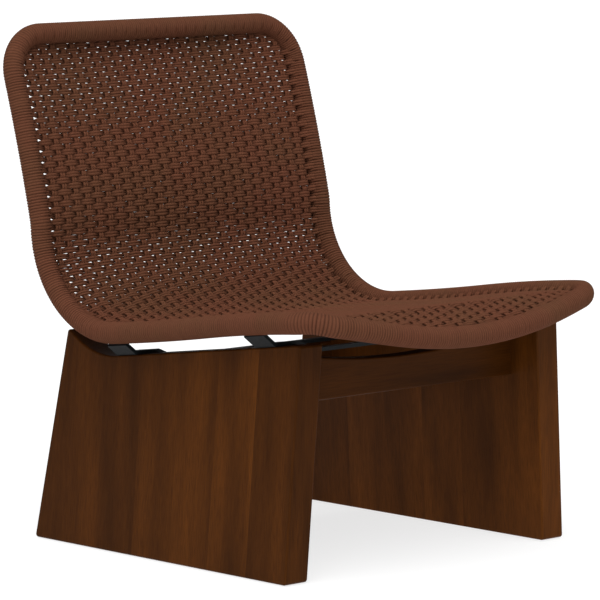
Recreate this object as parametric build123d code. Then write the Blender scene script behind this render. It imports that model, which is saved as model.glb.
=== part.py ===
from build123d import *
from math import atan, cos, degrees, hypot, radians, sin, tan
import os

# Low lounge chair: an S-curved shell of woven rope on a rope-wrapped steel tube
# rim, screwed down on two solid wood side panels that lean outward at the foot.
# X runs across the chair, -Y is its front, +Z is up. Millimetres.
# The origin is on the floor, under the middle of the whole chair.

# --- shell rim and its side profile, measured along the tube's centre line ---
RIM_HALF_WIDTH = 310.0
RIM_TOP_Z = 813.0
TUBE_RADIUS = 12.7
TUBE_WALL = 1.6
ROPE = 4.6
WRAP_RADIUS = TUBE_RADIUS + ROPE
TOP_LEAN = 17.5
TOP_CORNER_RADIUS = 71.0
# each stretch of the profile: length, and turn in degrees (forward is positive)
TOP_STRAIGHT = (80.0, 0.0)
BACK_SWEEP = (220.0, -4.3)
LUMBAR_KINK = (20.0, -9.9)
SEAT_BEND = (262.5, 93.0)
SEAT_DISH = (219.0, 2.75)
THIGH_CROWN = (220.0, -4.75)
FRONT_ROLL = (72.0, -86.0)
STRETCHES = [TOP_STRAIGHT, BACK_SWEEP, LUMBAR_KINK, SEAT_BEND, SEAT_DISH, THIGH_CROWN, FRONT_ROLL]
SHELL_LENGTH = sum(length for length, turn in STRETCHES)
FRONT_BOW = 57.4
FRONT_CORNER_RADIUS = 41.0
WEAVE_HALF_THICKNESS = 4.0

# --- wood side panels ---
FOOT_HALF_WIDTH = 310.0
LEAN_OUT = 0.070
PANEL_THICKNESS = 48.0
PANEL_FRONT_Y = -281.0
PANEL_FOOT_DEPTH = 593.5
FRONT_RAKE = 0.019
REAR_RAKE = 0.165
GLIDE_PROUD = 1.5
PANEL_FRONT_TOP_Z = 369.0
TOP_SLOPE = 0.1331
CRADLE_START_Y = 131.0
CRADLE_RADIUS = 160.0
CORNER_ROUND = 5.0
ARRIS = 3.0
BOARD_WIDTH = 89.0
BOARDS = 7

# --- rails between the panels ---
RAIL_THICKNESS = 28.0
FRONT_RAIL_FACE_Y = -227.0
FRONT_RAIL_BOTTOM_Z = 268.7
FRONT_RAIL_MIDDLE_Z = 323.6
FRONT_RAIL_DIP = 21.0
REAR_RAIL_FACE_Y = 192.0
REAR_RAIL_BOTTOM_Z = 208.0
REAR_RAIL_HEIGHT = 76.0
DOWEL_RADIUS = 5.0
DOWEL_LENGTH = 50.0

# --- steel straps that carry the shell ---
STRAP_WIDTH = 44.5
STRAP_THICKNESS = 6.0
STRAP_DROP = 15.0
FRONT_STRAP_Y = -212.0
REAR_STRAP_Y = 107.0
SCREW_RADIUS = 2.4
SCREW_HEAD_RADIUS = 4.6
SCREW_LENGTH = 36.0
GLIDE_RADIUS = 12.0
GLIDE_HEIGHT = 4.0

SLOPE_ANGLE = atan(TOP_SLOPE)


def run_forward(start, stretch, distance):
    """Point and heading after a distance along one stretch. The heading is the
    angle from straight down, turning towards the front."""
    y, z, heading = start
    length, turn = stretch
    if turn == 0:
        return y - sin(heading) * distance, z - cos(heading) * distance, heading
    bend = radians(turn) / length
    end = heading + bend * distance
    return y + (cos(end) - cos(heading)) / bend, z - (sin(end) - sin(heading)) / bend, end


def profile_state(distance, top_y=0.0):
    """Y, Z and heading of the shell's middle surface at a distance from its top."""
    state = (top_y, RIM_TOP_Z, radians(TOP_LEAN))
    for stretch in STRETCHES:
        if distance <= stretch[0]:
            return run_forward(state, stretch, distance)
        state = run_forward(state, stretch, stretch[0])
        distance -= stretch[0]
    return state


# the chair is as deep behind the origin as in front of it
TOP_Y = -profile_state(SHELL_LENGTH)[0] / 2


def shell_point(x, distance, offset=0.0):
    """A point of the shell, offset square to it towards the sitter."""
    y, z, heading = profile_state(distance, TOP_Y)
    return Vector(x, y - cos(heading) * offset, z + sin(heading) * offset)


def shell_tangent(distance):
    heading = profile_state(distance, TOP_Y)[2]
    return Vector(0, -sin(heading), -cos(heading))


def stretch_spans(start, end):
    """The parts of the profile's stretches that lie between two distances."""
    spans = []
    reached = 0.0
    for length, turn in STRETCHES:
        low, high = max(start, reached), min(end, reached + length)
        if high - low > 0.01:
            spans.append((low, high, turn))
        reached += length
    return spans


def profile_edges(x, start, end, offset=0.0):
    """The profile between two distances, as straight lines and tangent arcs."""
    edges = []
    for low, high, turn in stretch_spans(start, end):
        first, last = shell_point(x, low, offset), shell_point(x, high, offset)
        if turn == 0:
            edges.append(Line(first, last))
        else:
            edges.append(ThreePointArc(first, shell_point(x, (low + high) / 2, offset), last))
    return edges


# --- the rim's route: two sides, the top and the bowed, rolled front ---
SIDE_START = TOP_STRAIGHT[0]
SIDE_END = SHELL_LENGTH - FRONT_BOW - FRONT_CORNER_RADIUS


def side_route(side):
    return Wire([piece.edge() for piece in profile_edges(side * RIM_HALF_WIDTH, SIDE_START, SIDE_END)])


def top_route():
    corners = [
        shell_point(x, distance)
        for x, distance in [
            (-RIM_HALF_WIDTH, SIDE_START),
            (-RIM_HALF_WIDTH, 0),
            (RIM_HALF_WIDTH, 0),
            (RIM_HALF_WIDTH, SIDE_START),
        ]
    ]
    return FilletPolyline(*corners, radius=TOP_CORNER_RADIUS).wire()


def front_distance(x):
    """How far along the shell its bowed front edge lies, at x across it."""
    return SHELL_LENGTH - FRONT_BOW * (x / RIM_HALF_WIDTH) ** 2


def front_route():
    """Half the front edge as points on the shell, mirrored, its corners rounded."""
    start = shell_point(RIM_HALF_WIDTH, SIDE_END)
    half = [start, start + shell_tangent(SIDE_END) * 9]
    for angle in (25, 47, 70):
        x = RIM_HALF_WIDTH - FRONT_CORNER_RADIUS * (1 - cos(radians(angle)))
        back_off = FRONT_CORNER_RADIUS * (1 - sin(radians(angle)))
        half.append(shell_point(x, front_distance(x) - back_off))
    for x in (261, 215, 160, 100, 35):
        half.append(shell_point(x, front_distance(x)))
    mirrored = [Vector(-point.X, point.Y, point.Z) for point in reversed(half)]
    points = half + mirrored
    radii = []
    for before, here, after in zip(points, points[1:], points[2:]):
        turn = radians((here - before).get_angle(after - here))
        shorter = min((here - before).length, (after - here).length)
        radii.append(0.45 * shorter / tan(turn / 2))
    return FilletPolyline(*points, radius=radii).wire()


def along(route, outer, inner=0.0):
    """A round rod or tube whose centre line is the route."""
    plane = Plane(origin=route @ 0, z_dir=route % 0)
    rod = sweep(plane * Circle(outer), path=route)
    if inner:
        rod -= sweep(plane * Circle(inner), path=route)
    return rod.solid()


def largest(shape):
    return max(shape.solids(), key=lambda solid: solid.volume)


# --- steel tube rim, and the rope wrapped round it ---
def rim_tubes(routes):
    return {name: along(route, TUBE_RADIUS, TUBE_RADIUS - TUBE_WALL) for name, route in routes.items()}


def rim_wraps(routes, straps):
    wraps = {}
    for name, route in routes.items():
        wrap = along(route, WRAP_RADIUS, TUBE_RADIUS)
        if name in ("left", "right"):
            for strap in straps.values():
                wrap -= strap
        wraps[name] = largest(wrap)
    return wraps


# --- woven rope shell, one closed sheet cut into four stretches ---
def woven_sheet(start, end, rods):
    low = profile_edges(0, start, end, -WEAVE_HALF_THICKNESS)
    high = profile_edges(0, start, end, WEAVE_HALF_THICKNESS)
    caps = [
        Line(shell_point(0, distance, -WEAVE_HALF_THICKNESS), shell_point(0, distance, WEAVE_HALF_THICKNESS))
        for distance in (start, end)
    ]
    face = Face(Wire([piece.edge() for piece in low + high + caps]))
    sheet = extrude(face, amount=RIM_HALF_WIDTH, dir=(1, 0, 0), both=True)
    for rod in rods:
        sheet -= rod
    return largest(sheet)


def woven_shell(rods):
    back_end = TOP_STRAIGHT[0] + BACK_SWEEP[0]
    bend_end = back_end + LUMBAR_KINK[0] + SEAT_BEND[0]
    seat_end = bend_end + SEAT_DISH[0] + THIGH_CROWN[0] - 60
    return {
        "woven_back": woven_sheet(0, back_end, rods),
        "woven_bend": woven_sheet(back_end, bend_end, rods),
        "woven_seat": woven_sheet(bend_end, seat_end, rods),
        "woven_front": woven_sheet(seat_end, SHELL_LENGTH, rods),
    }


# --- side panels: boards glued edge to edge, upright along the front edge ---
def panel_front(z):
    return PANEL_FRONT_Y - FRONT_RAKE * z


def panel_rear(z):
    return PANEL_FRONT_Y + PANEL_FOOT_DEPTH - REAR_RAKE * z


def panel_top(y):
    """Height of a panel's straight top edge, which rises to the front."""
    return PANEL_FRONT_TOP_Z - TOP_SLOPE * (y - panel_front(PANEL_FRONT_TOP_Z))


def outer_face(z):
    return FOOT_HALF_WIDTH - LEAN_OUT * z


def leaning_slab(inner_offset, outer_offset, side):
    """The space between two planes parallel to a panel's outer face."""
    height = 500.0
    corners = [
        (side * (outer_face(z) - offset), 0, z)
        for z, offset in [(0, outer_offset), (0, inner_offset), (height, inner_offset), (height, outer_offset)]
    ]
    return extrude(Face(Wire.make_polygon([Vector(*c) for c in corners])), amount=500, dir=(0, 1, 0), both=True)


def panel_outline():
    """Side view of a panel: raked front and rear, and a top edge that runs straight
    and then curls up at the rear, under the shell's bend."""
    foot = GLIDE_PROUD
    top_front = Vector(0, panel_front(PANEL_FRONT_TOP_Z), PANEL_FRONT_TOP_Z)
    cradle = Vector(0, CRADLE_START_Y, panel_top(CRADLE_START_Y))
    curl = radians(39.6)

    def on_cradle(angle):
        run = CRADLE_RADIUS * (sin(SLOPE_ANGLE) + sin(angle))
        rise = CRADLE_RADIUS * (cos(SLOPE_ANGLE) - cos(angle))
        return cradle + Vector(0, run, rise)

    rear_top = on_cradle(curl)
    rear_foot = Vector(0, panel_rear(foot), foot)
    front_foot = Vector(0, panel_front(foot), foot)
    edges = [
        Line(front_foot, top_front),
        Line(top_front, cradle),
        ThreePointArc(cradle, on_cradle((curl - SLOPE_ANGLE) / 2), rear_top),
        Line(rear_top, rear_foot),
        Line(rear_foot, front_foot),
    ]
    outline = Face(Wire([edge.edge() for edge in edges]))
    corners = [v for v in outline.vertices() if abs(v.Y - CRADLE_START_Y) > 1]
    return outline.fillet_2d(CORNER_ROUND, corners)


def side_panel(side):
    slab = extrude(panel_outline(), amount=FOOT_HALF_WIDTH + 50, dir=(side, 0, 0))
    slab = (slab & leaning_slab(PANEL_THICKNESS, 0, side)).solid()
    faces = slab.faces().sort_by(Axis.X)
    rims = faces[0].edges() + faces[-1].edges()
    return fillet(rims, ARRIS).solid()


def board_strip(low, high):
    """Room for one board: a strip parallel to the panel's front edge."""
    corners = []
    for z, offset in [(-20, low), (-20, high), (520, high), (520, low)]:
        corners.append(Vector(0, panel_front(z) + offset, z))
    return extrude(Face(Wire.make_polygon(corners)), amount=500, dir=(1, 0, 0), both=True)


def boards(side, cutters):
    panel = side_panel(side)
    for cutter in cutters:
        panel -= cutter
    pieces = []
    for index in range(BOARDS):
        low = -50 if index == 0 else BOARD_WIDTH * index
        high = 900 if index == BOARDS - 1 else BOARD_WIDTH * (index + 1)
        pieces.append(largest(panel & board_strip(low, high)))
    return pieces


# --- rails and the dowels glued into both ends of each ---
def rail(face_y, bottom, end_top, middle_top):
    def inner_face(z):
        return outer_face(z) - PANEL_THICKNESS

    edges = [
        Line((-inner_face(bottom), face_y, bottom), (inner_face(bottom), face_y, bottom)),
        Line((inner_face(bottom), face_y, bottom), (inner_face(end_top), face_y, end_top)),
        Line((-inner_face(end_top), face_y, end_top), (-inner_face(bottom), face_y, bottom)),
    ]
    ends = (inner_face(end_top), face_y, end_top), (-inner_face(end_top), face_y, end_top)
    if end_top == middle_top:
        edges.append(Line(*ends))
    else:
        edges.append(ThreePointArc(ends[0], (0, face_y, middle_top), ends[1]))
    body = extrude(Face(Wire([edge.edge() for edge in edges])), amount=RAIL_THICKNESS, dir=(0, 1, 0))
    long_edges = body.edges().filter_by(lambda edge: edge.length > 300)
    return fillet(long_edges, ARRIS).solid()


def dowels():
    pegs = []
    for face_y, heights in (
        (FRONT_RAIL_FACE_Y, (FRONT_RAIL_BOTTOM_Z + 14, FRONT_RAIL_BOTTOM_Z + 42)),
        (REAR_RAIL_FACE_Y, (REAR_RAIL_BOTTOM_Z + 18, REAR_RAIL_BOTTOM_Z + 58)),
    ):
        for z in heights:
            for side in (-1, 1):
                x = side * (outer_face(z) - PANEL_THICKNESS)
                place = Plane(origin=(x, face_y + RAIL_THICKNESS / 2, z), z_dir=(1, 0, 0))
                pegs.append((place * Cylinder(DOWEL_RADIUS, DOWEL_LENGTH)).solid())
    return pegs


# --- bent steel straps across the panels, and their screws ---
def strap_plane(y):
    """A plane square to the panels' top edges, its origin level with them."""
    return Plane(
        origin=(0, y, panel_top(y)), x_dir=(1, 0, 0), z_dir=(0, -cos(SLOPE_ANGLE), sin(SLOPE_ANGLE))
    )


def strap(y, tubes):
    """A flat bar: up under each side tube, flat on each panel, lower in between."""
    outer = outer_face(panel_top(y)) - 1.0
    inner = outer - PANEL_THICKNESS + 1.0
    middle = STRAP_THICKNESS / 2
    tip_x = RIM_HALF_WIDTH - 4
    tip_rise = middle + (tip_x - outer) * tan(radians(40))
    half = [(tip_x, tip_rise), (outer, middle), (inner, middle), (inner - 34, middle - STRAP_DROP)]
    points = half + [(-x, z) for x, z in reversed(half)]
    line = FilletPolyline(*points, radius=8.0)
    bar = strap_plane(y) * trace(line, STRAP_THICKNESS)
    solid = extrude(bar, amount=STRAP_WIDTH / 2, both=True)
    for name in ("left", "right"):
        solid -= tubes[name]
    return largest(solid)


def screws(y):
    """Two countersunk wood screws down through a strap into each panel."""
    plane = strap_plane(y)
    middle = outer_face(panel_top(y)) - PANEL_THICKNESS / 2
    pieces = []
    for side in (-1, 1):
        for step in (-11, 11):
            x = side * middle + step
            outline = Polyline(
                (x, STRAP_THICKNESS - 0.2),
                (x + SCREW_HEAD_RADIUS, STRAP_THICKNESS - 0.2),
                (x + SCREW_RADIUS, STRAP_THICKNESS - 3.0),
                (x + SCREW_RADIUS, 5 - SCREW_LENGTH),
                (x, -SCREW_LENGTH),
                close=True,
            )
            turned = revolve(make_face(outline), axis=Axis((x, 0, 0), (0, 1, 0)))
            pieces.append((plane * turned).solid())
    return pieces


def glides():
    """Nylon glides let into the foot of each panel, near its front and rear."""
    pieces = []
    for side in (-1, 1):
        for y in (panel_front(0) + 45, panel_rear(0) - 45):
            x = side * (outer_face(0) - PANEL_THICKNESS / 2)
            disc = Pos(x, y, GLIDE_HEIGHT / 2) * Cylinder(GLIDE_RADIUS, GLIDE_HEIGHT)
            pieces.append(disc.solid())
    return pieces


def save(name, shape):
    export_step(shape, os.path.join("parts", name + ".step"))


def group(pieces):
    return Compound(children=pieces)


os.makedirs("parts", exist_ok=True)

routes = {"left": side_route(-1), "right": side_route(1), "top": top_route(), "front": front_route()}
rods = [along(route, WRAP_RADIUS) for route in routes.values()]
solid_tubes = {name: along(routes[name], TUBE_RADIUS) for name in ("left", "right")}
tubes = rim_tubes(routes)
straps = {"front": strap(FRONT_STRAP_Y, solid_tubes), "rear": strap(REAR_STRAP_Y, solid_tubes)}
wraps = rim_wraps(routes, straps)
strap_screws = screws(FRONT_STRAP_Y) + screws(REAR_STRAP_Y)
rail_dowels = dowels()
foot_glides = glides()

for name, tube in tubes.items():
    save(name + "_rim_tube", tube)
for name, wrap in wraps.items():
    save(name + "_rim_wrap", wrap)
for name, sheet in woven_shell(rods).items():
    save(name, sheet)

let_in = rail_dowels + strap_screws + foot_glides
for label, side in (("left", -1), ("right", 1)):
    for number, board in enumerate(boards(side, let_in), start=1):
        save(f"{label}_board_{number}", board)

front_end_top = FRONT_RAIL_MIDDLE_Z + FRONT_RAIL_DIP
front_rail = rail(FRONT_RAIL_FACE_Y, FRONT_RAIL_BOTTOM_Z, front_end_top, FRONT_RAIL_MIDDLE_Z)
rear_top = REAR_RAIL_BOTTOM_Z + REAR_RAIL_HEIGHT
rear_rail = rail(REAR_RAIL_FACE_Y, REAR_RAIL_BOTTOM_Z, rear_top, rear_top)
for name, piece in (("front_rail", front_rail), ("rear_rail", rear_rail)):
    for peg in rail_dowels:
        piece -= peg
    save(name, piece.solid())
for name, piece in straps.items():
    for screw in strap_screws:
        piece -= screw
    save(name + "_strap", piece.solid())
save("rail_dowels", group(rail_dowels))
save("strap_screws", group(strap_screws))
save("foot_glides", group(foot_glides))
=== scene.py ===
import math

import bpy
import numpy as np
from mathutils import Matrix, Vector


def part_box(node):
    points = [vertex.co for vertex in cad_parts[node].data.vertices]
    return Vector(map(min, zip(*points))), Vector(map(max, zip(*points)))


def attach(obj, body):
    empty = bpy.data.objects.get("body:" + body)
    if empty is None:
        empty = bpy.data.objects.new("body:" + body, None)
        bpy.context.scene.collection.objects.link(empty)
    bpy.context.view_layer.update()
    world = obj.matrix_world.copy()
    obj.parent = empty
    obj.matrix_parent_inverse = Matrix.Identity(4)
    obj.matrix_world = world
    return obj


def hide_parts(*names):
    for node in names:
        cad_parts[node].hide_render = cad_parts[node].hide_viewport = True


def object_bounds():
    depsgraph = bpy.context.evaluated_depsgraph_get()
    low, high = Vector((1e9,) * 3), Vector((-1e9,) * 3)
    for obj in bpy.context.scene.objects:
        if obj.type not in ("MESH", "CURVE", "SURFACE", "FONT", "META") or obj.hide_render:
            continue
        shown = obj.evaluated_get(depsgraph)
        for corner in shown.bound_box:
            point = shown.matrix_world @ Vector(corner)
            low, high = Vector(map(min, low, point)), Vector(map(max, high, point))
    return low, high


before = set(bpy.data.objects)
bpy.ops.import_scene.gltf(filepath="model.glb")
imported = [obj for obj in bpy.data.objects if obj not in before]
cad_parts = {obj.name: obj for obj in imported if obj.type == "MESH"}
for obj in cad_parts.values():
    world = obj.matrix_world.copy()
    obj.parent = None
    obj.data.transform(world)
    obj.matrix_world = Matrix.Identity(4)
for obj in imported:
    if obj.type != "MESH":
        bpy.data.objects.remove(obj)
cad_low, cad_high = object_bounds()

# --- Camera, floor and studio light ---
# A long lens from the chair's front left, a little above the seat, over a pale floor
# that is not part of the chair. Two broad lights without edges, the stronger overhead.
AZIMUTH = math.radians(-43.415)
ELEVATION = math.radians(6.846)
DISTANCE = 6.6814
LENS = 246.67
FARTHEST_SEEN = 100.0
AIM_OFF_CENTRE = Vector((0.0334, 0.0480, -0.0318))
AMBIENT_WHITE = (1.0, 1.0, 1.0, 1)
AMBIENT_STRENGTH = 0.14
FLOOR_REACH = 60.0
FLOOR_GREY = (0.34, 0.34, 0.34, 1)
FLOOR_GLOW = 0.74

back_ray = Vector((
    math.sin(AZIMUTH) * math.cos(ELEVATION),
    -math.cos(AZIMUTH) * math.cos(ELEVATION),
    math.sin(ELEVATION),
))
camera = bpy.data.objects.new("camera", bpy.data.cameras.new("camera"))
camera.data.lens = LENS
camera.data.clip_end = FARTHEST_SEEN
camera.location = (cad_low + cad_high) / 2 + AIM_OFF_CENTRE + back_ray * DISTANCE
camera.rotation_mode = "QUATERNION"
camera.rotation_quaternion = (-back_ray).to_track_quat("-Z", "Y")
bpy.context.scene.collection.objects.link(camera)
bpy.context.scene.camera = camera
bpy.context.scene.view_settings.view_transform = "Standard"


def broad_light(name, turn, width, power):
    """Parallel rays spread over a wide angle, turned in degrees from straight down."""
    light = bpy.data.lights.new(name, "SUN")
    light.angle = math.radians(width)
    light.energy = power
    lamp = bpy.data.objects.new(name, light)
    lamp.rotation_euler = [math.radians(angle) for angle in turn]
    bpy.context.scene.collection.objects.link(lamp)


broad_light("overhead", turn=(14, -16, 0), width=75, power=3.5)
broad_light("front_fill", turn=(80, 0, -43), width=40, power=0.8)

world = bpy.data.worlds.new("studio")
bpy.context.scene.world = world
world.use_nodes = True
ambient = world.node_tree.nodes["Background"]
ambient.inputs["Color"].default_value = AMBIENT_WHITE
ambient.inputs["Strength"].default_value = AMBIENT_STRENGTH

floor_mesh = bpy.data.meshes.new("floor")
floor_corners = [(x * FLOOR_REACH, y * FLOOR_REACH, 0) for x, y in ((-1, -1), (1, -1), (1, 1), (-1, 1))]
floor_mesh.from_pydata(floor_corners, [], [(0, 1, 2, 3)])
floor = bpy.data.objects.new("floor", floor_mesh)
bpy.context.scene.collection.objects.link(floor)
paper = bpy.data.materials.new("pale_floor")
paper.use_nodes = True
paper_shader = paper.node_tree.nodes["Principled BSDF"]
paper_shader.inputs["Base Color"].default_value = FLOOR_GREY
paper_shader.inputs["Roughness"].default_value = 1.0
paper_shader.inputs["Specular IOR Level"].default_value = 0.0
paper_shader.inputs["Emission Color"].default_value = (1, 1, 1, 1)
paper_shader.inputs["Emission Strength"].default_value = FLOOR_GLOW
floor_mesh.materials.append(paper)


# --- Side panels ---
# Each is seven hardwood boards glued edge to edge, with their grain upright, stained
# brown and oiled to a low sheen. Every board has its own tone and its own grain, and the
# right panel's boards are all painted lighter as well, which is painted light.
def linear(red, green, blue):
    """A display colour from 0 to 255 as the linear colour that a shader takes, by the standard sRGB curve."""
    values = np.array([red, green, blue]) / 255
    dark, bright = values / 12.92, ((values + 0.055) / 1.055) ** 2.4
    return tuple(float(v) for v in np.where(values < 0.04045, dark, bright))


# The left panel's tones are the boards' own. The right panel's are raised well above them as painted light,
# which lifts its inner face, in shade under the seat, and its outer face with it.
BOARD_TONES_AND_PAINTED_LIGHT = {
    "left": (0.91, 1.18, 1.10, 0.92, 0.84, 0.86, 0.78),
    "right": (1.40, 1.24, 1.54, 1.30, 1.46, 1.22, 1.34),
}
GRAIN_SHIFT_PER_BOARD = {"left": (0.37, 0.53, 1.3), "right": (0.37, 0.71, 1.3)}
STAIN_DARK = linear(50, 25, 5)
STAIN_MIDDLE = linear(72, 38, 9)
STAIN_LIGHT = linear(92, 50, 14)
PORE_BROWN = linear(34, 15, 4)
WOOD_SHEEN = 0.035
# Output, squeeze along the grain, scale, detail and roughness of each noise in the grain.
GRAIN_LAYERS = (
    ("Figure", 0.12, 16.0, 3.0, 0.55),
    ("Streak", 0.02, 190.0, 4.0, 0.6),
    ("Pore", 0.045, 620.0, 2.0, 0.5),
)


def feed(tree, socket, value):
    """Sets a socket to a number or a colour, or links another node's output to it."""
    if isinstance(value, (int, float)):
        socket.default_value = value
    elif isinstance(value, tuple):
        socket.default_value = (*value, 1)
    else:
        tree.links.new(value, socket)


def new_group(name, inputs, outputs):
    """An empty shader group with named sockets: inputs are (name, type, value)."""
    group = bpy.data.node_groups.new(name, "ShaderNodeTree")
    for label, kind, value in inputs:
        socket = group.interface.new_socket(label, in_out="INPUT", socket_type=kind)
        if value is not None:
            socket.default_value = value
    for label, kind in outputs:
        group.interface.new_socket(label, in_out="OUTPUT", socket_type=kind)
    return group, group.nodes.new("NodeGroupInput"), group.nodes.new("NodeGroupOutput")


def noise_node(tree, vector, scale, detail, roughness=0.5):
    """The value of a noise, from 0 to 1."""
    node = tree.nodes.new("ShaderNodeTexNoise")
    node.inputs["Detail"].default_value = detail
    node.inputs["Roughness"].default_value = roughness
    feed(tree, node.inputs["Scale"], scale)
    tree.links.new(vector, node.inputs["Vector"])
    return node.outputs["Fac"]


def mapped(tree, vector, scale=(1, 1, 1), turn=(0, 0, 0), offset=None):
    """A vector scaled, turned and shifted."""
    node = tree.nodes.new("ShaderNodeMapping")
    node.inputs["Scale"].default_value = scale
    node.inputs["Rotation"].default_value = turn
    tree.links.new(vector, node.inputs["Vector"])
    if offset is not None:
        tree.links.new(offset, node.inputs["Location"])
    return node.outputs[0]


def grain_group():
    """Long grain along Z of the vector: broad figure, fine streaks and short open pores."""
    group, taken, given = new_group(
        "grain",
        [("Vector", "NodeSocketVector", None), ("Offset", "NodeSocketVector", None)],
        [(layer[0], "NodeSocketFloat") for layer in GRAIN_LAYERS],
    )
    place = mapped(group, taken.outputs["Vector"], offset=taken.outputs["Offset"])
    for label, squeeze, scale, detail, roughness in GRAIN_LAYERS:
        squeezed = mapped(group, place, scale=(1.0, 1.0, squeeze))
        layer = noise_node(group, squeezed, scale, detail, roughness)
        group.links.new(layer, given.inputs[label])
    return group


grain = grain_group()


def new_finish(name):
    """A material, its node tree, its shader, and the object coordinates."""
    material = bpy.data.materials.new(name)
    material.use_nodes = True
    tree = material.node_tree
    place = tree.nodes.new("ShaderNodeTexCoord").outputs["Object"]
    return material, tree, tree.nodes["Principled BSDF"], place


def placed(tree, group, vector, **values):
    """A shader group in a material, on a vector and with its own values."""
    node = tree.nodes.new("ShaderNodeGroup")
    node.node_tree = group
    tree.links.new(vector, node.inputs["Vector"])
    for label, value in values.items():
        node.inputs[label].default_value = value
    return node


def ramp(tree, factor, stops):
    """A colour ramp: stops are (position, linear colour)."""
    node = tree.nodes.new("ShaderNodeValToRGB")
    while len(node.color_ramp.elements) < len(stops):
        node.color_ramp.elements.new(1.0)
    for element, (position, colour) in zip(node.color_ramp.elements, stops):
        element.position = position
        element.color = (*colour, 1)
    tree.links.new(factor, node.inputs["Fac"])
    return node.outputs["Color"]


def mix_colour(tree, factor, first, second, blend="MIX"):
    """Two colours mixed; sockets 0, 6, 7 and the second output are the node's colour ones."""
    node = tree.nodes.new("ShaderNodeMix")
    node.data_type = "RGBA"
    node.blend_type = blend
    for number, value in ((0, factor), (6, first), (7, second)):
        feed(tree, node.inputs[number], value)
    return node.outputs[2]


def spread(tree, factor, low, high):
    """A mask from 0 to 1 moved to run from low to high."""
    node = tree.nodes.new("ShaderNodeMapRange")
    node.inputs["To Min"].default_value = low
    node.inputs["To Max"].default_value = high
    tree.links.new(factor, node.inputs["Value"])
    return node.outputs[0]


def bump(tree, shader, height, depth, strength):
    """Relief on a shader from a height mask, with its depth in metres."""
    node = tree.nodes.new("ShaderNodeBump")
    node.inputs["Distance"].default_value = depth
    node.inputs["Strength"].default_value = strength
    tree.links.new(height, node.inputs["Height"])
    tree.links.new(node.outputs[0], shader.inputs["Normal"])


def finish_node(name, material):
    """Gives a node of the CAD model its material."""
    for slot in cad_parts[name].material_slots:
        slot.material = material


def stained_wood(name, tone, offset, turn=(0, 0, 0)):
    """Brown stain over open grain that runs along Z, or along the axis that turn brings to Z."""
    material, tree, shader, place = new_finish(name)
    wood = placed(tree, grain, mapped(tree, place, turn=turn), Offset=offset)
    stops = [(0.28, STAIN_DARK), (0.47, STAIN_MIDDLE), (0.72, STAIN_LIGHT)]
    streaks = spread(tree, wood.outputs["Streak"], low=0.0, high=0.65)
    pores = spread(tree, wood.outputs["Pore"], low=-0.5, high=0.75)
    dullness = spread(tree, wood.outputs["Streak"], low=0.36, high=0.52)
    streaked = mix_colour(tree, streaks, ramp(tree, wood.outputs["Figure"], stops), STAIN_DARK)
    pored = mix_colour(tree, pores, streaked, PORE_BROWN)
    toned = mix_colour(tree, 1.0, pored, (tone, tone, tone), "MULTIPLY")
    tree.links.new(toned, shader.inputs["Base Color"])
    tree.links.new(dullness, shader.inputs["Roughness"])
    shader.inputs["Specular IOR Level"].default_value = WOOD_SHEEN
    bump(tree, shader, wood.outputs["Pore"], depth=0.0004, strength=0.25)
    return material


# Each board's tone multiplies its stain; on the right panel this carries painted light.
for side, tones_and_light in BOARD_TONES_AND_PAINTED_LIGHT.items():
    for number, tone in enumerate(tones_and_light, start=1):
        board = f"{side}_board_{number}"
        shift = tuple(step * number for step in GRAIN_SHIFT_PER_BOARD[side])
        finish_node(board, stained_wood(f"{board}_stain", tone, shift))


# --- Rails and their dowels ---
# The front and rear rails are the same stained hardwood with the grain running across
# the chair. Beech dowels are glued into both ends of each, and into the panels.
ACROSS = (0, math.radians(90), 0)
BEECH_DARK = linear(172, 128, 86)
BEECH_LIGHT = linear(208, 168, 120)

finish_node("front_rail", stained_wood("front_rail_stain", tone=0.95, offset=(2.1, 0.4, 3.3), turn=ACROSS))
finish_node("rear_rail", stained_wood("rear_rail_stain", tone=0.90, offset=(4.2, 1.9, 0.7), turn=ACROSS))


def plain_beech():
    """Unstained pale wood with fine straight grain."""
    material, tree, shader, place = new_finish("beech_dowel")
    wood = placed(tree, grain, mapped(tree, place, turn=ACROSS))
    colour = ramp(tree, wood.outputs["Streak"], [(0.3, BEECH_DARK), (0.7, BEECH_LIGHT)])
    tree.links.new(colour, shader.inputs["Base Color"])
    shader.inputs["Roughness"].default_value = 0.6
    bump(tree, shader, wood.outputs["Pore"], depth=0.0003, strength=0.2)
    return material


finish_node("rail_dowels", plain_beech())


# --- Glides ---
# Round discs moulded in brown nylon, let into the foot of each side panel near its front
# and its rear, so that the stained edges stay off the floor.
NYLON_DARK = linear(42, 32, 26)
NYLON_LIGHT = linear(62, 48, 38)
MOTTLE_FINENESS = 9.0


def blotches_group():
    """Large soft patches of tone, and a finer mottle over them."""
    group, taken, given = new_group(
        "blotches",
        [("Vector", "NodeSocketVector", None), ("Scale", "NodeSocketFloat", 6.0)],
        [("Patch", "NodeSocketFloat"), ("Mottle", "NodeSocketFloat")],
    )
    fine = group.nodes.new("ShaderNodeMath")
    fine.operation = "MULTIPLY"
    feed(group, fine.inputs[0], taken.outputs["Scale"])
    feed(group, fine.inputs[1], MOTTLE_FINENESS)
    patch = noise_node(group, taken.outputs["Vector"], taken.outputs["Scale"], detail=2.0)
    mottle = noise_node(group, taken.outputs["Vector"], fine.outputs[0], detail=4.0, roughness=0.6)
    group.links.new(patch, given.inputs["Patch"])
    group.links.new(mottle, given.inputs["Mottle"])
    return group


blotches = blotches_group()


def brown_nylon():
    """Matte moulded plastic with a faint mottle."""
    material, tree, shader, place = new_finish("brown_nylon")
    marks = placed(tree, blotches, place, Scale=60.0)
    colour = mix_colour(tree, marks.outputs["Mottle"], NYLON_DARK, NYLON_LIGHT)
    tree.links.new(colour, shader.inputs["Base Color"])
    shader.inputs["Roughness"].default_value = 0.55
    bump(tree, shader, marks.outputs["Mottle"], depth=0.0002, strength=0.3)
    return material


finish_node("foot_glides", brown_nylon())


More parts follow.
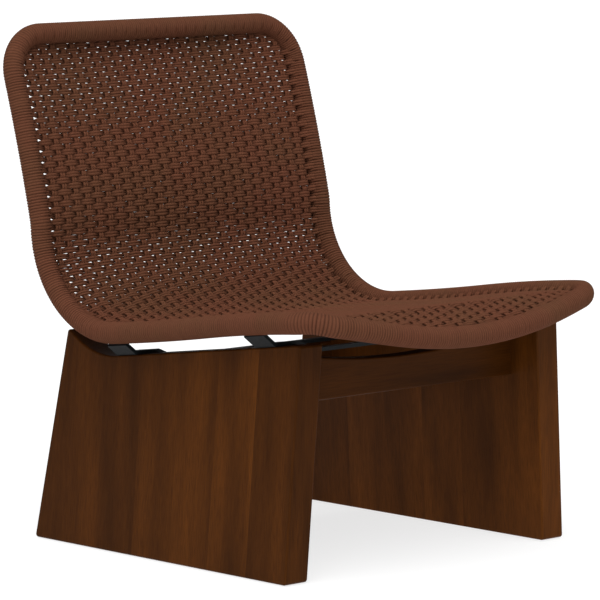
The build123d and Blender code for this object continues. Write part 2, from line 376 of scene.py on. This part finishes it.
# --- Straps and rim tubes ---
# Two flat steel bars, bent and laid across the side panels, carry the rim of bent steel
# tube on their ends. Both are powder coated blue-black, with a fine pebbled texture.
COAT_DARK = linear(9, 13, 15)
COAT_LIGHT = linear(20, 25, 28)
COAT_SHEEN = 0.25
PEBBLE_SCALE = 1500.0


def powder_coat():
    """Blue-black coating with a fine pebble in its relief."""
    material, tree, shader, place = new_finish("black_powder_coat")
    marks = placed(tree, blotches, place, Scale=14.0)
    colour = mix_colour(tree, marks.outputs["Patch"], COAT_DARK, COAT_LIGHT)
    tree.links.new(colour, shader.inputs["Base Color"])
    tree.links.new(spread(tree, marks.outputs["Mottle"], low=0.4, high=0.65), shader.inputs["Roughness"])
    shader.inputs["Specular IOR Level"].default_value = COAT_SHEEN
    pebble = noise_node(tree, place, PEBBLE_SCALE, detail=2.0)
    bump(tree, shader, pebble, depth=0.0002, strength=0.35)
    return material


coat = powder_coat()
for strap in ("front_strap", "rear_strap"):
    finish_node(strap, coat)
for part in ("left", "right", "top", "front"):
    finish_node(f"{part}_rim_tube", coat)


# --- Strap screws ---
# Countersunk wood screws, two down through each strap into each side panel. They are
# zinc plated, with dull and bright patches.
ZINC_DULL = linear(168, 168, 160)
ZINC_BRIGHT = linear(205, 204, 196)


def zinc_plate():
    """Plated metal that is patchy in tone and in gloss."""
    material, tree, shader, place = new_finish("zinc_plate")
    marks = placed(tree, blotches, place, Scale=120.0)
    colour = mix_colour(tree, marks.outputs["Patch"], ZINC_DULL, ZINC_BRIGHT)
    tree.links.new(colour, shader.inputs["Base Color"])
    shader.inputs["Metallic"].default_value = 1.0
    tree.links.new(spread(tree, marks.outputs["Mottle"], low=0.25, high=0.5), shader.inputs["Roughness"])
    return material


finish_node("strap_screws", zinc_plate())


# --- Rim wraps ---
# Brown braided rope of about 4.6 mm, wound closely round the steel rim, one turn beside
# the next. On the sides two turns line up with each pair of cross ropes in the weave.
# The first colour is painted shade for the hollows of the plait; the last is painted shade for the creases
# between ropes and turns.
ROPE_HOLLOW_SHADE = linear(61, 36, 26)
ROPE_FUZZ = linear(115, 74, 55)
CREASE_SHADE_COLOUR = linear(38, 22, 16)
ROPE_OLIVE = linear(94, 60, 41)
ROPE_MIDDLE = linear(96, 59, 41)
ROPE_RED = linear(98, 58, 41)
ROPE_SHEEN = 0.06
LAY_SCALE = 2.2
LAY_STRETCH = (4.0, 3.0)
FIBRE_SCALE = 3.0
FIBRE_STRETCH = (60.0, 9.0, 1.0)


def braid_group():
    """The plaited sleeve of a rope, from a map with U round it and V along it: the higher of
    two slanted waves, one leaning each way, and fine fibres along the rope."""
    group, taken, given = new_group(
        "braid",
        [("Vector", "NodeSocketVector", None)],
        [("Height", "NodeSocketFloat"), ("Fibre", "NodeSocketFloat")],
    )
    higher = group.nodes.new("ShaderNodeMath")
    higher.operation = "MAXIMUM"
    for number, lean_way in enumerate((1, -1)):
        wave = group.nodes.new("ShaderNodeTexWave")
        wave.wave_type = "BANDS"
        wave.bands_direction = "DIAGONAL"
        wave.inputs["Scale"].default_value = LAY_SCALE
        stretch = (LAY_STRETCH[0] * lean_way, LAY_STRETCH[1], 1.0)
        leaning = mapped(group, taken.outputs["Vector"], scale=stretch)
        group.links.new(leaning, wave.inputs["Vector"])
        group.links.new(wave.outputs["Fac"], higher.inputs[number])
    drawn_out = mapped(group, taken.outputs["Vector"], scale=FIBRE_STRETCH)
    fibre = noise_node(group, drawn_out, FIBRE_SCALE, detail=3.0, roughness=0.6)
    group.links.new(higher.outputs[0], given.inputs["Height"])
    group.links.new(fibre, given.inputs["Fibre"])
    return group


braid = braid_group()


def rope_finish():
    """Matte braided rope. Its sleeve is drawn from the rope's own map, with painted shade in
    the low parts of the plait, its patches of redder and more olive brown from object
    coordinates, and painted shade in its creases from the attribute that each mesh carries."""
    material, tree, shader, place = new_finish("brown_rope")
    sleeve_map = tree.nodes.new("ShaderNodeUVMap")
    sleeve_map.uv_map = "sleeve"
    sleeve = placed(tree, braid, sleeve_map.outputs[0])
    lots = placed(tree, blotches, place, Scale=9.0)
    base = ramp(tree, lots.outputs["Patch"], [(0.36, ROPE_OLIVE), (0.47, ROPE_MIDDLE), (0.6, ROPE_RED)])
    depth = tree.nodes.new("ShaderNodeAttribute")
    depth.attribute_name = "crease_shade"
    # Painted shade: the low parts of the plait are mixed towards a dark brown.
    painted_hollow_shade = spread(tree, sleeve.outputs["Height"], low=0.55, high=0.0)
    fibres = spread(tree, sleeve.outputs["Fibre"], low=0.0, high=0.3)
    # Painted shade: the creases between turns and under crossing ropes are darkened by the attribute that
    # each mesh carries.
    crease_shade_mask = spread(tree, depth.outputs["Fac"], low=0.0, high=0.6)
    shaded = mix_colour(tree, painted_hollow_shade, base, ROPE_HOLLOW_SHADE)
    fuzzy = mix_colour(tree, fibres, shaded, ROPE_FUZZ)
    crease_shaded = mix_colour(tree, crease_shade_mask, fuzzy, CREASE_SHADE_COLOUR)
    tree.links.new(crease_shaded, shader.inputs["Base Color"])
    shader.inputs["Roughness"].default_value = 0.9
    shader.inputs["Specular IOR Level"].default_value = ROPE_SHEEN
    bump(tree, shader, sleeve.outputs["Height"], depth=0.0004, strength=0.35)
    return material


rope = rope_finish()

# The shell's surface, on which the rims and the weave lie, is straight across and S-curved
# from the top down: each stretch has a length and turns evenly by an angle to the front.
STRETCHES = (
    (0.080, 0.0), (0.220, -4.3), (0.020, -9.9), (0.2625, 93.0), (0.219, 2.75), (0.220, -4.75), (0.072, -86.0)
)
TOP_LEAN = 17.5
SHELL_SAMPLES = 4001
TUBE_RADIUS = 0.0127
WRAP_RADIUS = 0.0173

reached = np.cumsum([0.0] + [length for length, turn in STRETCHES])
headings = np.radians(TOP_LEAN + np.cumsum([0.0] + [turn for length, turn in STRETCHES]))
SHELL_LENGTH = float(reached[-1])
stations = np.linspace(0, SHELL_LENGTH, SHELL_SAMPLES)
lean = np.interp(stations, reached, headings)
stride = stations[1]
forward = np.concatenate([[0], np.cumsum((np.sin(lean[1:]) + np.sin(lean[:-1])) / 2 * stride)])
downward = np.concatenate([[0], np.cumsum((np.cos(lean[1:]) + np.cos(lean[:-1])) / 2 * stride)])
rim_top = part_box("top_rim_wrap")[1].z - WRAP_RADIUS


def shell_frame(s):
    """At a distance s down the shell: the point at its middle, the direction down it and the
    direction square to it, towards the sitter. Y and Z are the running sums of the sine and
    the cosine of the heading."""
    heading = np.interp(s, stations, lean)
    y = forward[-1] / 2 - np.interp(s, stations, forward)
    z = rim_top - np.interp(s, stations, downward)
    zero = np.zeros_like(y)
    point = np.stack([zero, y, z], -1)
    down = np.stack([zero, -np.sin(heading), -np.cos(heading)], -1)
    outward = np.stack([zero, -np.cos(heading), np.sin(heading)], -1)
    return point, down, outward


def shell_point(x, s, offset):
    """The point at x across and s down the shell, offset square to it towards the sitter."""
    x, s, offset = np.broadcast_arrays(x, s, offset)
    point, down, outward = shell_frame(s)
    point = point + outward * offset[..., None]
    point[..., 0] = x
    return point


def closed_mesh(name, points, quads, sleeve_uv, crease_shade):
    """A piece from points, quads, a map and each point's depth in the creases between ropes,
    from 0 to 1, by which the rope's colour is darkened as painted shade. Its faces point outwards:
    they are turned if the volume that they enclose, a sixth of the sum of triple products, is below zero."""
    a, b, c, d = (points[quads[:, i]] for i in range(4))
    volume = np.einsum("ij,ij->", a, np.cross(b, c)) + np.einsum("ij,ij->", a, np.cross(c, d))
    if volume < 0:
        quads, sleeve_uv = quads[:, ::-1], sleeve_uv[:, ::-1]
    mesh = bpy.data.meshes.new(name)
    mesh.vertices.add(len(points))
    mesh.vertices.foreach_set("co", points.astype(np.float32).ravel())
    mesh.loops.add(quads.size)
    mesh.loops.foreach_set("vertex_index", quads.astype(np.int32).ravel())
    mesh.polygons.add(len(quads))
    mesh.polygons.foreach_set("loop_start", np.arange(0, quads.size, 4, dtype=np.int32))
    mesh.polygons.foreach_set("use_smooth", np.ones(len(quads), dtype=bool))
    mesh.attributes.new("crease_shade", "FLOAT", "POINT").data.foreach_set("value", crease_shade.astype(np.float32))
    mesh.uv_layers.new(name="sleeve").data.foreach_set("uv", sleeve_uv.astype(np.float32).ravel())
    mesh.update(calc_edges=True)
    mesh.validate()
    piece = bpy.data.objects.new(name, mesh)
    bpy.context.scene.collection.objects.link(piece)
    return piece


def face_map(*corners):
    """The map of every quad from its four corners, each of them a grid of U and a grid of V."""
    return np.stack([np.stack(corner, -1) for corner in corners], -2).reshape(-1, 4, 2)


def finish_rope(piece, replaced):
    """Gives a rope piece its material and its body, and hides the CAD node that it replaces, if any."""
    piece.data.materials.append(rope)
    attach(piece, "root")
    if replaced:
        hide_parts(replaced)


ROPE_MAP_LENGTH = 0.01
MAP_WIDTH_OF_TURN = 0.5
SAMPLES_PER_TURN = 8
SIDES_ROUND = 28
INNER_RINGS = 90
TURN_RISE = 0.0023
VALLEY_REACH = 0.53
LOOSENESS = (0.75, 1.25)
MOST_TURNS = 1000
# How strongly a groove's depth darkens the wrap's colour as painted shade.
CREASE_SHADE_GAIN = 1.5
NOTCH_HALF_WIDTH = 0.0014
NOTCH_TURN = math.radians(36)
NOTCH_SPREAD = math.radians(20)
ROW_PITCH = 0.00938
TURN_PITCH = ROW_PITCH / 2
chance = np.random.default_rng(7)


def unit(vectors):
    """Rows of vectors at a length of one."""
    return vectors / np.linalg.norm(vectors, axis=-1)[..., None]


def wound_sleeve(name, across, down_shell, turns, group, inward, notch_depth):
    """Turns of rope round a rim whose centre line is given across and down the shell, with the
    count of turns at each point. Radius is the tube's plus a rope, less a half-round valley
    between turns, and less a narrow notch between groups of turns on the side where the weave
    leaves. The inner wall is the tube's radius, so the sleeve closes."""
    route = shell_point(across, down_shell, 0.0)
    outward = shell_frame(down_shell)[2]
    length = np.concatenate([[0], np.cumsum(np.linalg.norm(np.diff(route, axis=0), axis=1))])
    outer_rings = int(round(abs(turns[-1] - turns[0]) * SAMPLES_PER_TURN)) + 1
    outer_at = np.interp(np.linspace(turns[0], turns[-1], outer_rings), turns, length)
    every = np.concatenate([outer_at, np.linspace(length[-1], 0, INNER_RINGS)])
    every_turn = np.interp(every, length, turns)
    outer = np.arange(len(every)) < outer_rings

    centre = np.stack([np.interp(every, length, route[:, i]) for i in range(3)], -1)
    slope = np.gradient(route, length, axis=0)
    along = unit(np.stack([np.interp(every, length, slope[:, i]) for i in range(3)], -1))
    up = np.stack([np.interp(every, length, outward[:, i]) for i in range(3)], -1)
    up = unit(up - along * np.einsum("ij,ij->i", up, along)[:, None])
    side = np.cross(along, up)
    angle = np.linspace(0, 2 * np.pi, SIDES_ROUND, endpoint=False)
    ring = up[:, None] * np.cos(angle)[None, :, None] + side[:, None] * np.sin(angle)[None, :, None]

    valley = 1 - np.sqrt(np.clip(1 - ((every_turn % 1.0 - 0.5) / VALLEY_REACH) ** 2, 0, None))
    valley = valley * chance.uniform(*LOOSENESS, MOST_TURNS)[np.round(every_turn).astype(int)]
    from_notch = ((every_turn / group + 0.5) % 1.0 - 0.5) * group * TURN_PITCH
    aside = (angle - inward * NOTCH_TURN + np.pi) % (2 * np.pi) - np.pi
    facing = np.exp(-((aside / NOTCH_SPREAD) ** 2))
    notch = notch_depth * np.exp(-((from_notch / NOTCH_HALF_WIDTH) ** 2))[:, None] * facing[None]
    radius = np.where(outer[:, None], WRAP_RADIUS - TURN_RISE * valley[:, None] - notch, TUBE_RADIUS)
    points = centre[:, None] + ring * radius[:, :, None]

    rings = len(every)
    i, j = np.meshgrid(np.arange(rings), np.arange(SIDES_ROUND), indexing="ij")
    next_i, next_j = (i + 1) % rings, (j + 1) % SIDES_ROUND
    ring_start, next_start = i * SIDES_ROUND, next_i * SIDES_ROUND
    quads = np.stack([ring_start + j, ring_start + next_j, next_start + next_j, next_start + j], -1)
    round_length = 2 * np.pi * WRAP_RADIUS / ROPE_MAP_LENGTH / SIDES_ROUND
    low, high = every_turn[i] * MAP_WIDTH_OF_TURN, every_turn[next_i] * MAP_WIDTH_OF_TURN
    left, right = j * round_length, (j + 1) * round_length
    uv = face_map((low, left), (low, right), (high, right), (high, left))
    # Painted shade: the grooves between turns are darkened by their depth.
    crease_shade = np.repeat(np.where(outer, np.clip(valley * CREASE_SHADE_GAIN, 0, 1), 0), SIDES_ROUND)
    piece = closed_mesh(name, points.reshape(-1, 3), quads.reshape(-1, 4), uv, crease_shade)
    finish_rope(piece, name.replace("_rope", ""))


def arc_turns(across, down_shell, pitch):
    """The count of turns along a route, wound at an even pitch and counted from its middle."""
    step = np.hypot(np.diff(across), np.diff(down_shell))
    run = np.concatenate([[0], np.cumsum(step)])
    return (run - run[-1] / 2) / pitch


def both_halves(half_x, half_s):
    """A route over the whole width, from its right half, which ends in the middle."""
    return np.concatenate([-half_x, half_x[::-1][1:]]), np.concatenate([half_s, half_s[::-1][1:]])


# The rows of cross ropes lie an even pitch apart, and crowd together towards the top.
ROWS = 116
FIRST_ROW = 0.0107
CROWDING = 0.0106
CROWDED_ROWS = 12
row_numbers = np.arange(ROWS)
row_stations = FIRST_ROW + ROW_PITCH * row_numbers - CROWDING * (1 - np.exp(-row_numbers / CROWDED_ROWS))

# The rim's outline: straight sides, rounded corners, a straight top and a bowed front.
RIM_HALF_WIDTH = 0.310
FRONT_BOW = 0.0574
TOP_CORNER = 0.071
FRONT_CORNER = 0.041
SIDE_START = 0.080
SIDE_END = SHELL_LENGTH - FRONT_BOW - FRONT_CORNER
SIDE_SAMPLES = 800
CORNER_SAMPLES = 60
TOP_SAMPLES = 120
FRONT_SAMPLES = 200
SMALLEST_STEP = 1e-6
SIDE_GROUP = 4
END_GROUP = 5
TOP_TURN_PITCH = 0.0044

side_stations = np.linspace(SIDE_START, SIDE_END, SIDE_SAMPLES)
side_turns = 2 * np.interp(side_stations, row_stations, row_numbers)
for label, side in (("left", -1), ("right", 1)):
    name = f"{label}_rim_wrap_rope"
    side_across = np.full(SIDE_SAMPLES, side * RIM_HALF_WIDTH)
    wound_sleeve(name, side_across, side_stations, side_turns, SIDE_GROUP, inward=side, notch_depth=0.0015)

quarter = np.linspace(0, np.pi / 2, CORNER_SAMPLES)
corner_x = RIM_HALF_WIDTH - TOP_CORNER * (1 - np.cos(quarter))
corner_s = TOP_CORNER * (1 - np.sin(quarter))
side_s = np.linspace(SIDE_START, TOP_CORNER, 4)[:-1]
edge_x = np.linspace(corner_x[-1], 0, TOP_SAMPLES)[1:]
top_half_x = np.concatenate([np.full_like(side_s, RIM_HALF_WIDTH), corner_x, edge_x])
top_half_s = np.concatenate([side_s, corner_s, np.zeros_like(edge_x)])
top_x, top_s = both_halves(top_half_x, top_half_s)
top_turns = arc_turns(top_x, top_s, TOP_TURN_PITCH)
wound_sleeve("top_rim_wrap_rope", top_x, top_s, top_turns, END_GROUP, inward=1, notch_depth=0.0042)


def front_edge(x):
    """How far down the shell the front rim's middle line lies: a parabola across the chair."""
    return SHELL_LENGTH - FRONT_BOW * (x / RIM_HALF_WIDTH) ** 2


front_x = RIM_HALF_WIDTH - FRONT_CORNER * (1 - np.cos(quarter))
front_s = front_edge(front_x) - FRONT_CORNER * (1 - np.sin(quarter))
edge_x = np.linspace(front_x[-1], 0, FRONT_SAMPLES)[1:]
front_half_x = np.concatenate([[RIM_HALF_WIDTH], front_x, edge_x])
front_half_s = np.concatenate([[SIDE_END], front_s, front_edge(edge_x)])
front_half_s = np.maximum(front_half_s, SIDE_END)
moved = np.hypot(np.diff(front_half_x), np.diff(front_half_s)) > SMALLEST_STEP
keep = np.concatenate([[True], moved])
front_half_x, front_half_s = front_half_x[keep], front_half_s[keep]
lower_x, lower_s = both_halves(front_half_x, front_half_s)
lower_turns = arc_turns(lower_x, lower_s, TURN_PITCH)
wound_sleeve("front_rim_wrap_rope", lower_x, lower_s, lower_turns, END_GROUP, inward=-1, notch_depth=0.0008)


# --- Cross ropes ---
# Pairs of the same rope woven across the shell, over one pair of warp ropes and under the
# next, and carried round the front and the back of the side rims by turns.
COLUMN_PITCH = 0.022
CROSS_RISE = 0.0027
WAVE_FLATNESS = 1.3
ROPE_SIDES = 8
ROPE_HALF_THICKNESS = 0.00225
# How dark the painted shade goes where a rope passes under the ropes that cross it.
SHADE = 0.75


def bump_at(s, centre, width):
    """A rounded bump of height one."""
    return np.exp(-(((s - centre) / width) ** 2))


def plateau_at(s, centre, reach):
    """A bump of height one with a flat top."""
    return np.exp(-(((s - centre) / reach) ** 4))


def smooth_step(t):
    """From 0 to 1, level at both ends."""
    t = np.clip(t, 0, 1)
    return t * t * (3 - 2 * t)


def squared(wave):
    """A cosine wave with flatter tops."""
    return np.tanh(WAVE_FLATNESS * wave) / math.tanh(WAVE_FLATNESS)


# How the sheet lies: its drop behind the top rim and how fast that fades, and bumps of a
# height, a place down the shell and a width, in the middle of the sheet and at its edges.
TOP_DROP = 0.0195
TOP_FADE = 0.090
MIDDLE_BUMPS = ((0.006, 0.25, 0.07), (0.002, 0.43, 0.09), (-0.006, 0.80, 0.17))
EDGE_DROP = 0.004
EDGE_FADE = 0.060
EDGE_BELLY = (0.002, 0.16, 0.10)
BEND_TUCK = (0.43, 0.09)
BEND_TUCK_LEFT = -0.012
BEND_TUCK_RIGHT = -0.004
EDGE_SEAT_DIP = (-0.003, 0.78, 0.2)
SHEET_HALF_WIDTH = 0.285
ROLL_LENGTH = 0.072
ROLL_CUT = 0.013
ROLL_RUN = 0.020


def sag(x, s):
    """How far the woven sheet lies from the rims' plane, towards the sitter. Down its middle
    it starts behind the top rim, bellies forward at the small of the back and sinks in the
    seat; at the rims it is nearly flat on the back and pulled under in the bend. Across, the
    two are blended by the fourth power of the width. Over the front roll it is taut, and cuts
    inside the curve by a parabola."""
    middle = -TOP_DROP * np.exp(-((s / TOP_FADE) ** 1.5))
    for height, centre, width in MIDDLE_BUMPS:
        middle = middle + height * bump_at(s, centre, width)
    tuck = np.where(x < 0, BEND_TUCK_LEFT, BEND_TUCK_RIGHT)
    edge = -EDGE_DROP * np.exp(-((s / EDGE_FADE) ** 1.5))
    for height, centre, width in (EDGE_BELLY, (tuck, *BEND_TUCK), EDGE_SEAT_DIP):
        edge = edge + height * bump_at(s, centre, width)
    share = np.clip(np.abs(x) / SHEET_HALF_WIDTH, 0, 1) ** 4
    rim_s = front_edge(x)
    rolled = np.clip((rim_s - SHELL_LENGTH + ROLL_LENGTH) / ROLL_LENGTH, 0, 1)
    run = np.clip((rim_s - s) / (ROLL_LENGTH * rolled + ROLL_RUN), 0, 1)
    return middle * (1 - share) + edge * share - ROLL_CUT * rolled**2 * 4 * run * (1 - run)


def rope_bundle(name, paths, flat, half_width, depth, replaced):
    """Ropes along paths, strands by points by 3. The section is an oval of eight sides: its
    thickness lies along the path's direction crossed with flat, and its half width square to
    both. Three quads close each end, and depth is how far each point lies under the ropes
    that cross it, from 0 to 1, which darkens the rope there as painted shade."""
    strands, rings = paths.shape[:2]
    along = unit(np.gradient(paths, axis=1))
    thick = unit(np.cross(along, flat))
    wide = np.cross(thick, along)
    angle = np.linspace(0, 2 * np.pi, ROPE_SIDES, endpoint=False)
    points = (
        paths[:, :, None]
        + wide[:, :, None] * half_width[:, None, None, None] * np.cos(angle)[None, None, :, None]
        + thick[:, :, None] * (ROPE_HALF_THICKNESS * np.sin(angle))[None, None, :, None]
    )
    k, i, j = np.meshgrid(np.arange(strands), np.arange(rings - 1), np.arange(ROPE_SIDES), indexing="ij")
    first = (k * rings + i) * ROPE_SIDES
    after = (j + 1) % ROPE_SIDES
    quads = np.stack([first + j, first + after, first + ROPE_SIDES + after, first + ROPE_SIDES + j], -1)
    step = np.linalg.norm(np.diff(paths, axis=1), axis=2)
    distance = np.concatenate([np.zeros((strands, 1)), np.cumsum(step, axis=1)], axis=1) / ROPE_MAP_LENGTH
    low, high = distance[k, i], distance[k, i + 1]
    left, right = j / ROPE_SIDES, (j + 1) / ROPE_SIDES
    uv = face_map((left, low), (right, low), (right, high), (left, high))
    cap = np.array([[0, 3, 2, 1], [0, 7, 4, 3], [7, 6, 5, 4]])
    heads = (np.arange(strands) * rings * ROPE_SIDES)[:, None, None] + cap[None]
    tails = heads[:, :, ::-1] + (rings - 1) * ROPE_SIDES
    quads = np.concatenate([quads.reshape(-1, 4), heads.reshape(-1, 4), tails.reshape(-1, 4)])
    uv = np.concatenate([uv, np.zeros((strands * 2 * len(cap), 4, 2))])
    piece = closed_mesh(name, points.reshape(-1, 3), quads, uv, np.repeat(depth.ravel(), ROPE_SIDES))
    finish_rope(piece, replaced)


# A cross rope's half width is a share of the rows' pitch, and light comes between the rows
# where the share is small: it is larger in the middle of the back and in the first rows,
# and smallest in the bend. Each place is a distance down the shell and a reach.
CROSS_SHARE = 0.2570
MID_BACK_WIDER = 0.0380
MID_BACK = (0.24, 0.10)
FIRST_ROWS_WIDER = 0.060
FIRST_ROWS = (0.0, 0.017)
BEND_NARROWER = 0.026
BEND = (0.490, 0.060)

# A pair is pinched together between the warp pairs. By the left rim it is pinched more,
# most of all in the bend, and shifted up or down by turns, which leaves a row of gaps. By
# the right rim it is spread a little instead, which closes them.
PINCH = 0.00022
EDGE_PINCH = 0.0007
EDGE_SHIFT = 0.0009
EDGE_GAP_IN = 0.0220
EDGE_GAP_WIDTH = 0.0045
BEND_GAP_GAIN = 0.8
BEND_GAPS = (0.44, 0.05)
RIGHT_SIDE_PINCH = -0.2
WANDER = 0.00015
WANDER_WAVE = 60
LARGEST_PHASE = 6.3

# Near a rim a cross rope leaves the weave for the front or the back of the rim by turns,
# and ends inside its windings.
INSIDE_RIM = 0.0100
LOWEST_ENTRY = -0.0125
BEND_REACH_LOSS = 0.7
BEND_REACH = (0.45, 0.11)
END_START = 0.024
END_RUN = 0.016
END_SHORT = 0.009
LAST_ROW_GAP = 0.012
END_SHARE = 0.05
END_SAMPLES = 10
MIDDLE_SAMPLES = 98

REGIONS = (
    ("cross_ropes_back", "woven_back", 0.0, 0.300),
    ("cross_ropes_bend", "woven_bend", 0.300, 0.5825),
    ("cross_ropes_seat", "woven_seat", 0.5825, 0.9615),
    ("cross_ropes_front", "woven_front", 0.9615, SHELL_LENGTH),
)
outline_s = np.concatenate([corner_s[::-1], [SIDE_START, SIDE_END], front_half_s[2:]])
outline_x = np.concatenate([corner_x[::-1], [RIM_HALF_WIDTH] * 2, front_half_x[2:]])
share_across = np.concatenate([
    np.linspace(0, END_SHARE, END_SAMPLES)[:-1],
    np.linspace(END_SHARE, 1 - END_SHARE, MIDDLE_SAMPLES),
    np.linspace(1 - END_SHARE, 1, END_SAMPLES)[1:],
])

for name, node, low, high in REGIONS:
    within = (row_stations >= low) & (row_stations < min(high, SHELL_LENGTH - LAST_ROW_GAP))
    numbers = row_numbers[within]
    strand_row = np.repeat(numbers, 2)
    strand_side = np.tile([-0.5, 0.5], len(numbers))
    turn = np.where(strand_row % 2 == 0, 1.0, -1.0)[:, None]
    local_pitch = np.gradient(row_stations)[strand_row]
    base_s = row_stations[strand_row] + strand_side * local_pitch / 2
    share = CROSS_SHARE + MID_BACK_WIDER * plateau_at(base_s, *MID_BACK)
    share = share + FIRST_ROWS_WIDER * plateau_at(base_s, *FIRST_ROWS)
    share = share - BEND_NARROWER * plateau_at(base_s, *BEND)
    rim_x = np.interp(base_s, outline_s, outline_x)[:, None]
    half = rim_x - END_SHORT
    x = (share_across[None] * 2 - 1) * half

    by_rim = bump_at(np.abs(x), half + END_SHORT - EDGE_GAP_IN, EDGE_GAP_WIDTH)
    left_gain = 1 + BEND_GAP_GAIN * bump_at(base_s[:, None], *BEND_GAPS)
    by_rim = by_rim * np.where(x < 0, left_gain, RIGHT_SIDE_PINCH)
    pinch = PINCH * np.sin(np.pi * (x / COLUMN_PITCH - 0.5)) ** 2
    s = base_s[:, None] - 2 * strand_side[:, None] * (pinch + EDGE_PINCH * by_rim)
    s = s + turn * np.sign(x) * EDGE_SHIFT * by_rim
    s = s + WANDER * np.sin(x * WANDER_WAVE + chance.uniform(0, LARGEST_PHASE, len(base_s))[:, None])

    weave = turn * squared(np.cos(np.pi * (x / COLUMN_PITCH - 0.5))) * CROSS_RISE
    at_end = smooth_step((np.abs(x) - (half + END_SHORT - END_START)) / END_RUN)
    reach = INSIDE_RIM * np.where(x < 0, 1.0, 1 - BEND_REACH_LOSS * bump_at(s, *BEND_REACH))
    end_level = np.maximum(0.5 * sag(x, s) - turn * np.sign(x) * reach, LOWEST_ENTRY)
    offset = (sag(x, s) + weave) * (1 - at_end) + end_level * at_end
    # Painted shade: the rope is darker where it dips under the warp ropes.
    depth = SHADE * (1 - weave / CROSS_RISE) / 2
    rope_bundle(name, shell_point(x, s, offset), shell_frame(s)[1], local_pitch * share, depth, node)


# --- Warp ropes ---
# Pairs of rope along the shell, from the wound top rim down to the front rim, over and
# under the cross ropes, at an even pitch across the chair. Their ends are hidden in the
# rims' windings.
COLUMNS = 26
BUNDLES = 4
WARP_GAP = 0.0048
WARP_RISE = 0.0025
WARP_SAMPLES = 560
ROPE_HALF_WIDTH = 0.0024
WARP_START_IN = 0.001
WARP_END_SHORT = 0.004
WARP_WANDER = 0.00022
WARP_WANDER_WAVE = 70
TOP_RUN = 0.022
FRONT_RUN = 0.010
FRONT_ENTRY = 0.004

for bundle, columns in enumerate(np.array_split(np.arange(COLUMNS), BUNDLES), start=1):
    strand_column = np.repeat(columns, 2)
    strand_side = np.tile([-0.5, 0.5], len(columns))
    turn = np.where(strand_column % 2 == 0, 1.0, -1.0)[:, None]
    base_x = (strand_column - COLUMNS / 2 + 0.5) * COLUMN_PITCH + strand_side * WARP_GAP
    start = np.interp(np.abs(base_x), corner_x[::-1], corner_s[::-1])[:, None] + WARP_START_IN
    end = np.interp(np.abs(base_x), front_half_x[::-1], front_half_s[::-1])[:, None] - WARP_END_SHORT
    s = start + (end - start) * np.linspace(0, 1, WARP_SAMPLES)[None]
    phase = chance.uniform(0, LARGEST_PHASE, len(base_x))[:, None]
    x = base_x[:, None] + WARP_WANDER * np.sin(s * WARP_WANDER_WAVE + phase)

    weave = turn * squared(np.cos(np.pi * np.interp(s, row_stations, row_numbers))) * WARP_RISE
    at_top = smooth_step((start + TOP_RUN - s) / TOP_RUN)
    at_front = smooth_step((s - end + FRONT_RUN) / FRONT_RUN)
    woven = (sag(x, s) + weave) * (1 - at_top) * (1 - at_front)
    paths = shell_point(x, s, woven - INSIDE_RIM * at_top - turn * FRONT_ENTRY * at_front)
    sideways = np.broadcast_to(np.array([1.0, 0.0, 0.0]), paths.shape)
    half_width = np.full(len(base_x), ROPE_HALF_WIDTH)
    # Painted shade: the rope is darker where it dips under the cross ropes.
    depth = SHADE * (1 - weave / WARP_RISE) / 2
    rope_bundle(f"warp_ropes_{bundle}", paths, sideways, half_width, depth, None)
